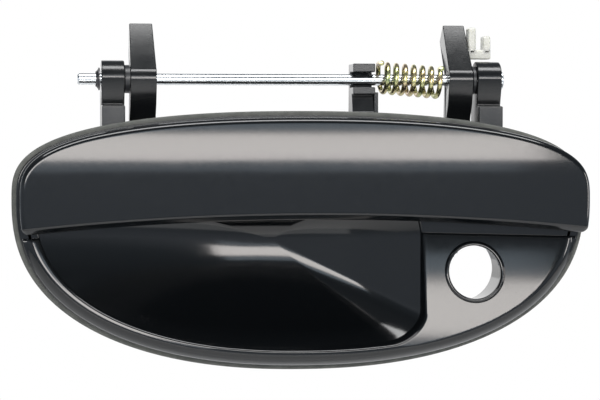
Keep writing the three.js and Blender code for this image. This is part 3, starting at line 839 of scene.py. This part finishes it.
def spring():
    """Torsion spring with a leg on the lug and a leg against the right arm."""
    x0, x1 = SPRING_X
    turns = SPRING_TURNS
    high, low = SPRING_SAG
    path = []
    for t in np.linspace(0, 1, turns * 48 + 1):
        angle = t * turns * 2 * math.pi
        path.append((x0 + t * (x1 - x0), AXIS_Y + SPRING_RADIUS * math.sin(angle),
                     AXIS_Z + high + t * (low - high) + SPRING_RADIUS * math.cos(angle)))
    lead = [(x0, AXIS_Y - d, AXIS_Z + high + SPRING_RADIUS) for d in np.linspace(6.2, 0.4, 14)]
    tail = [(x1, AXIS_Y - d, AXIS_Z + low + SPRING_RADIUS) for d in np.linspace(0.4, 4.4, 14)]
    piece = sweep("return_spring_wire", lead + path + tail, WIRE_RADIUS, YELLOW)
    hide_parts("return_spring")
    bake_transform(piece)


def stud(side):
    """M6 stud with rolled threads and a hexagon head."""
    x, z = STUDS[side]
    pitch, depth = 1.0, 0.3
    y0, y1 = STUD_BOSS_REAR - 4.2, STUD_BOSS_REAR + STUD_LENGTH
    count = 40
    turns = np.linspace(0, 2 * math.pi, count, endpoint=False)
    rows = []

    def ring(radius, y):
        across, up = x + radius * np.cos(turns), z + radius * np.sin(turns)
        return np.stack([across, np.full_like(turns, y), up], axis=-1)

    for y in np.arange(y0, y1 - 0.6, pitch / 8):
        phase = (y / pitch - turns / (2 * math.pi)) % 1.0
        radius = STUD_RADIUS - depth * (1 - np.abs(2 * phase - 1)) * 1.2
        rows.append(ring(radius, y))
    rows.append(ring(STUD_RADIUS - 0.9, y1))
    shape = Shape()
    shape.grid(rows, close_columns=True)
    shape.fan(rows[0], (x, y0, z), flip=True)
    shape.fan(rows[-1], (x, y1, z))
    shank = shape.object("shank", ZINC, sharp=50)
    head = rod_y("head", 5.77, x, z, FLANGE_FRONT + 0.15, FLANGE_FRONT + 1.15, 6)
    head = bevel(head, 0.15, 2)
    whole = join(f"mounting_stud_{side}_thread", [shank, head])
    whole.data.materials[0] = ZINC
    place(whole, "housing", f"mounting_stud_{side}", "bright_zinc")


def bumper(side):
    x, z = BUMPERS[side]
    front = GRIP_REAR - 1.2
    base = FLANGE_FRONT - 0.1
    profile = [(0.001, front)]
    turns = np.linspace(0.2, math.pi / 2, 9)
    profile += [(3.0 * math.sin(t), front + 0.9 * (1 - math.cos(t))) for t in turns]
    profile += [(3.0, base - 0.1), (2.9, base), (1.6, base), (1.6, FLANGE_REAR), (0.001, FLANGE_REAR)]
    dome = lathe(f"bumper_{side}_dome", profile, (x, z), "Y", BUFFER, 48)
    place(dome, "housing", f"bumper_{side}", "buffer_rubber")


# ---------------------------------------------------------------- grip

def grip_grid(inset, face_at, columns, levels):
    field = lambda x, z: grip_field(x, z) + inset
    reach = GRIP_OVAL["half"] - inset - 0.05
    x = GRIP_SHIFT - reach * np.cos(np.linspace(0, math.pi, columns))
    middle = OVAL["mid"] - 2

    def limit(sign):
        near, far = np.zeros_like(x), np.full_like(x, 60.0)
        for _ in range(44):
            half = (near + far) / 2
            inside = field(x, middle + sign * half) < 0
            near, far = np.where(inside, half, near), np.where(inside, far, half)
        return middle + sign * near

    low, high = limit(-1), limit(1)
    share = (1 - np.cos(np.linspace(0, math.pi, levels))) / 2
    z = low[:, None] + (high - low)[:, None] * share
    xs = np.repeat(x[:, None], levels, axis=1)
    return np.stack([xs, face_at(xs, z), z], axis=-1)


def loop_of(grid):
    """The edge of a grid as one closed ring."""
    return np.concatenate([grid[0, :-1], grid[:-1, -1], grid[-1, :0:-1], grid[:0:-1, 0]])


def grip_shell():
    columns, levels = 260, 72
    front = grip_grid(0, grip_face, columns, levels)
    inner = grip_grid(WALL, lambda x, z: grip_face(x, z) + WALL, columns, levels)

    def at(ring, y):
        ring = ring.copy()
        ring[:, 1] = y
        return ring

    outer_loop, inner_loop = loop_of(front), loop_of(inner)
    shape = Shape()
    shape.grid(front)
    shape.grid(inner, flip=True)
    middle = outer_loop + (inner_loop - outer_loop) * 0.12
    rim = [outer_loop, at(outer_loop, GRIP_REAR - 0.35), at(middle, GRIP_REAR),
           at(inner_loop, GRIP_REAR), inner_loop]
    shape.grid(rim, close_columns=True)
    return shape.object("shell", GLOSS)


def arm(x0, x1):
    """Bell-crank arm in one outline: foot, leg, hub and lever."""
    y, z = AXIS_Y, AXIS_Z
    root = 2 - GRIP_FRONT
    low, high = ARM_FOOT
    outline = [(y - 2.2, z - 9), (y + 0.2, z - 12.6), (y + 0.8, z - 14),
               (y + 0.8, high + 1.4), (y + 0.2, high + 0.6),
               (root, high), (root, low), (y + 1, low), (y + 4.4, low + 1.4), (y + 5.6, low + 3),
               (y + 6.2, z - 14)]
    outline += [(y + HUB_RADIUS, z - 0.6), (y + 4.4, z + 1.2), (y + ARM_REACH - 0.3, z + ARM_RISE - 5.7),
                (y + ARM_REACH - 6, z + ARM_RISE), (y - 3.3, z + 3.7)]
    outline += arc(y, z, HUB_RADIUS, 136, 186, 12)
    lever = np.array([ARM_REACH - 2.7, ARM_RISE - 3.3])
    length = float(np.hypot(*lever))
    lever = lever / length

    def taper(py, pz):
        along = (py - y) * lever[0] + (pz - z) * lever[1]
        return ARM_TAPER * max(0.0, along) / length if pz > z else 0.0

    return bevel(profile_x("arm", outline, x0, x1, SATIN, spread=taper), 0.35)


def grip():
    shell = grip_shell()
    arms = []
    for low, high in (LEFT_ARM, RIGHT_ARM):
        solid = arm(low, high)
        bore = lathe("bore", [(0.001, low - 1), (3.26, low - 1), (3.26, high + 1), (0.001, high + 1)],
                     (AXIS_Y, AXIS_Z), "X", SATIN, 64)
        arms.append(combine(solid, [bore], "DIFFERENCE"))
    ribs = []
    for x in (-76, -30, 0, 30, 74):
        top = 27 if abs(x) > 50 else 34
        ribs.append(box_piece("rib", (x - 0.8, -11.1, 12), (x + 0.8, GRIP_REAR - 1.5, top), GLOSS))
    skin = join("paddle_grip", [shell, *ribs])
    levers = join("paddle_arms", arms)
    levers.data.materials[0] = SATIN
    for piece in (skin, levers):
        place(piece, "grip", "paddle", "gloss_black")


def bush(side):
    low, high = LEFT_ARM if side == "left" else RIGHT_ARM
    bore, tube, flange = ROD_RADIUS + ROD_FIT, 3.18, 4.9
    if side == "left":
        a, b = LEFT_EAR[1] + 0.1, low - 0.1
        profile = [(bore, a), (flange - 0.2, a), (flange, a + 0.2), (flange, b),
                   (tube, b), (tube, high), (bore, high)]
    else:
        a, b = high + 0.1, RIGHT_EAR[0] - 0.1
        profile = [(bore, low), (tube, low), (tube, a), (flange, a),
                   (flange, b - 0.2), (flange - 0.2, b), (bore, b)]
    piece = lathe(f"hinge_bush_{side}_ring", profile, (AXIS_Y, AXIS_Z), "X", BUSH, 64)
    place(piece, "grip", f"hinge_bush_{side}", "bush_nylon")


def clip():
    """Nylon clip: pin in the arm, and an open fork of two prongs that the latch rod snaps into."""
    x0 = RIGHT_ARM[1] - ARM_TAPER + 0.3
    y, z = AXIS_Y + CLIP_REACH, AXIS_Z + ARM_RISE - CLIP_DROP
    low, high = y - CLIP_DEPTH / 2, y + CLIP_DEPTH / 2
    right = x0 + CLIP_WIDTH - CLIP_PRONG
    left = right - CLIP_GAP - CLIP_PRONG
    base = CLIP_BASE / 2
    pieces = [bevel(box_piece("base", (x0, low, z - base), (x0 + CLIP_WIDTH, high, z + base), CLIP), 0.5)]
    for start, rise in ((left, CLIP_RISE[0]), (right, CLIP_RISE[1])):
        prong = box_piece("prong", (start, low, z), (start + CLIP_PRONG, high, z + rise), CLIP)
        pieces.append(bevel(prong, 0.8, 4))
    profile = [(0.001, x0 - 5), (1.5, x0 - 5), (1.9, x0 - 4.6), (1.9, x0 + 0.5), (0.001, x0 + 0.5)]
    pieces.append(lathe("pin", profile, (y, z), "X", CLIP, 40))
    place(join("latch_rod_clip_fork", pieces), "rod_clip", "latch_rod_clip", "clip_nylon")


# ---------------------------------------------------------------- stage

# Brightness of the room against height: 0 is straight down, 0.5 the horizon, 1 straight up
ROOM_STOPS = [(0.0, (0.06, 0.07, 0.075)), (0.36, (0.2, 0.24, 0.27)), (0.47, (0.5, 0.56, 0.64)),
              (0.54, (0.56, 0.62, 0.7)), (0.62, (0.22, 0.26, 0.3)), (0.75, (0.12, 0.14, 0.16)),
              (1.0, (0.22, 0.24, 0.26))]
BACK_STOPS = [(0.88, (0.0, 0.0, 0.0)), (0.95, (1.0, 1.0, 1.0))]


def stage():
    floor_mesh = bpy.data.meshes.new("floor")
    size, height = 1.2, -0.25
    near, far = -0.6, 1.4
    corners = [(-size, near, height), (size, near, height), (size, far, height), (-size, far, height)]
    floor_mesh.from_pydata(corners, [], [(0, 1, 2, 3)])
    material, tree, shader = new_material("floor_paint", (0.86, 0.86, 0.86), 0.9)
    floor_mesh.materials.append(material)
    floor = bpy.data.objects.new("floor", floor_mesh)
    bpy.context.scene.collection.objects.link(floor)


def area_light(name, place_at, target, width, height, radiance, color=(1, 1, 1)):
    """A soft box of a given brightness."""
    data = bpy.data.lights.new(name, "AREA")
    data.shape = "RECTANGLE"
    data.size, data.size_y = width, height
    data.energy = radiance * math.pi * width * height
    data.color = color
    lamp = bpy.data.objects.new(name, data)
    lamp.location = place_at
    aim(lamp, target)
    bpy.context.scene.collection.objects.link(lamp)


def aim(thing, target):
    direction = Vector(target) - Vector(thing.location)
    thing.rotation_euler = direction.to_track_quat("-Z", "Y").to_euler()


def world():
    """White to the eye; to reflections a dim room with a bright wall straight behind the part."""
    scene_world = bpy.data.worlds.new("studio")
    bpy.context.scene.world = scene_world
    scene_world.use_nodes = True
    tree = scene_world.node_tree
    place = tree.nodes.new("ShaderNodeTexCoord")
    split = tree.nodes.new("ShaderNodeSeparateXYZ")
    tree.links.new(place.outputs["Generated"], split.inputs["Vector"])

    def along(axis, stops):
        half = tree.nodes.new("ShaderNodeMapRange")
        half.inputs["From Min"].default_value = -1.0
        tree.links.new(split.outputs[axis], half.inputs["Value"])
        return ramp(tree, half.outputs["Result"], stops)

    def blend(factor, low):
        mix = tree.nodes.new("ShaderNodeMix")
        mix.data_type = "RGBA"
        mix.inputs["B"].default_value = (1.0, 1.0, 1.0, 1)
        tree.links.new(low, mix.inputs["A"])
        tree.links.new(factor, mix.inputs["Factor"])
        return mix.outputs["Result"]

    room = blend(along("Y", BACK_STOPS), along("Z", ROOM_STOPS))
    paths = tree.nodes.new("ShaderNodeLightPath")
    seen = blend(paths.outputs["Is Camera Ray"], room)
    tree.links.new(seen, tree.nodes["Background"].inputs["Color"])


def camera():
    data = bpy.data.cameras.new("camera")
    view = bpy.data.objects.new("camera", data)
    distance, azimuth, elevation = 0.8, math.radians(-8.0), math.radians(1.5)
    target = (-0.0008, 0.0, 0.0134)
    view.location = (target[0] + distance * math.sin(azimuth) * math.cos(elevation),
                     target[1] - distance * math.cos(azimuth) * math.cos(elevation),
                     target[2] + distance * math.sin(elevation))
    aim(view, target)
    data.sensor_width = 36
    data.lens = 36 * distance / 0.2078
    data.clip_start = 0.05
    bpy.context.scene.collection.objects.link(view)
    bpy.context.scene.camera = view


def panel(name, x, z, y, radiance, color=(1, 1, 1)):
    """A soft box in a plane in front of the part, facing it, from edge to edge in metres."""
    middle = ((x[0] + x[1]) / 2, y, (z[0] + z[1]) / 2)
    area_light(name, middle, (middle[0], 0, middle[2]), x[1] - x[0], z[1] - z[0], radiance, color)


def lights():
    warm = (1.0, 0.955, 0.92)
    cool = (0.72, 0.87, 1.0)
    panel("key", (-0.9, 0.4), (0.13, 0.335), -1.0, 12.0, warm)
    panel("key_top", (-0.9, 0.38), (0.335, 0.36), -1.001, 5.0, warm)
    panel("key_haze", (-0.9, 0.36), (0.36, 0.46), -1.002, 2.2, cool)
    panel("key_foot", (-0.9, 0.36), (0.05, 0.13), -1.003, 1.2, cool)
    panel("low_front", (-0.5, 0.5), (-0.235, -0.12), -0.55, 1.0)
    area_light("right_strip", (1.0, -0.25, 0.12), (0, 0, 0), 0.2, 0.4, 10.0, warm)
    area_light("top_box", (0, -0.27, 1.0), (0, -0.27, 0), 1.3, 0.36, 9.5)
    area_light("back_box", (0, 1.3, 0.5), (0, 0, 0), 1.6, 0.9, 0.6)


bpy.context.scene.view_settings.view_transform = "Standard"
stage()
camera()
world()
lights()
housing()
gasket()
rod()
push_nut()
spring()
stud("left")
stud("right")
bumper("left")
bumper("right")
grip()
bush("left")
bush("right")
clip()
